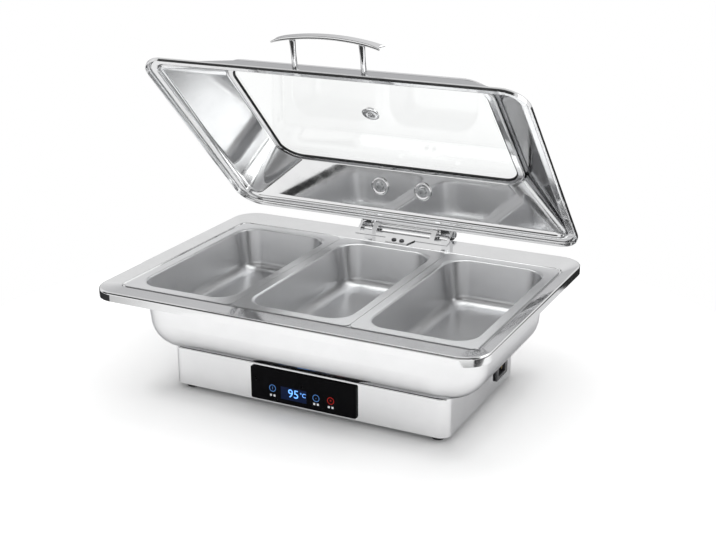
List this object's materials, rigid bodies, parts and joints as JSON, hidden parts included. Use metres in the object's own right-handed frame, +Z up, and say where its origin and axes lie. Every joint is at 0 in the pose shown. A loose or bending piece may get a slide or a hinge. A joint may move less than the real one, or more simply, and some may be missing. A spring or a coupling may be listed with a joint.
{
  "type": "electric chafing dish",
  "caption": "Rectangular electric chafing dish: polished box base with a touch panel, rimmed well with removable food pans, and a hinged lid with a glass window and an arched handle.",
  "frame": {"origin": "centre of the bottom plate's underside, 8.3 mm above the feet's lower faces", "axes": "+X to the right along the three pans, +Y to the rear where the hinge is, +Z up"},
  "size_m": [0.576, 0.432, 0.5075],
  "materials": {
    "polished_steel": "mirror-polished stainless steel",
    "satin_steel": "satin stainless steel",
    "plain_steel": "plain steel",
    "dark_steel": "blackened steel",
    "aluminium": "milled",
    "brass": "plain",
    "rubber": "matt",
    "black_plastic": "matt",
    "light_plastic": "matt",
    "clear_glass": "clear, hardened",
    "black_glass": "glossy, printed black from behind"
  },
  "bodies": {
    "root": {"base_shell": "polished_steel", "base_bottom_plate": "plain_steel", "foot_front_left": "rubber", "foot_front_right": "rubber", "foot_rear_left": "rubber", "foot_rear_right": "rubber", "foot_screw_front_left": "plain_steel", "foot_screw_front_right": "plain_steel", "foot_screw_rear_left": "plain_steel", "foot_screw_rear_right": "plain_steel", "body_shell": "polished_steel", "heating_plate": "aluminium", "heating_element": "dark_steel", "heater_clamp_bar": "plain_steel", "heater_nut_left": "brass", "heater_nut_right": "brass", "thermal_cutout": "black_plastic", "temperature_probe": "brass", "touch_glass": "black_glass", "control_tray": "light_plastic", "control_board": "light_plastic", "display_module": "black_plastic", "touch_spring_power": "plain_steel", "touch_spring_down": "plain_steel", "touch_spring_up": "plain_steel", "power_inlet": "black_plastic", "inlet_pin_live": "brass", "inlet_pin_earth": "brass", "inlet_pin_neutral": "brass", "power_board": "light_plastic", "power_relay": "black_plastic", "transformer": "brass", "mains_lead": "light_plastic", "heater_lead": "light_plastic", "display_ribbon": "light_plastic", "hinge_base_plate": "polished_steel", "hinge_screw_left": "dark_steel", "hinge_screw_right": "dark_steel", "hinge_barrel": "polished_steel", "hinge_shaft": "plain_steel"},
    "lid": {"lid_shell": "polished_steel", "window_gasket": "rubber", "window_glass": "clear_glass", "vent_eyelet": "polished_steel", "vent_cap": "polished_steel", "handle_post_left": "polished_steel", "handle_post_right": "polished_steel", "handle_screw_left": "plain_steel", "handle_screw_right": "plain_steel", "handle_bar": "polished_steel", "hinge_lid_bracket": "polished_steel", "hinge_washer_left": "polished_steel", "hinge_washer_right": "polished_steel", "hinge_bolt_left": "plain_steel", "hinge_bolt_right": "plain_steel"},
    "water_pan": {"water_pan": "satin_steel"},
    "left_pan": {"food_pan_left": "satin_steel"},
    "middle_pan": {"food_pan_middle": "satin_steel"},
    "right_pan": {"food_pan_right": "satin_steel"}
  },
  "joints": [
    {"name": "lid_hinge", "type": "hinge", "parent": "root", "child": "lid", "pos_m": [0, 0.2145, 0.1635], "axis": [-1, 0, 0], "range_deg": [-45.8, 44.2]},
    {"name": "water_pan_lift", "type": "slide", "parent": "root", "child": "water_pan", "axis": [0, 0, 1], "range_m": [0, 0.05]},
    {"name": "left_pan_lift", "type": "slide", "parent": "water_pan", "child": "left_pan", "axis": [0, 0, 1], "range_m": [0, 0.066]},
    {"name": "middle_pan_lift", "type": "slide", "parent": "water_pan", "child": "middle_pan", "axis": [0, 0, 1], "range_m": [0, 0.066]},
    {"name": "right_pan_lift", "type": "slide", "parent": "water_pan", "child": "right_pan", "axis": [0, 0, 1], "range_m": [0, 0.066]}
  ]
}
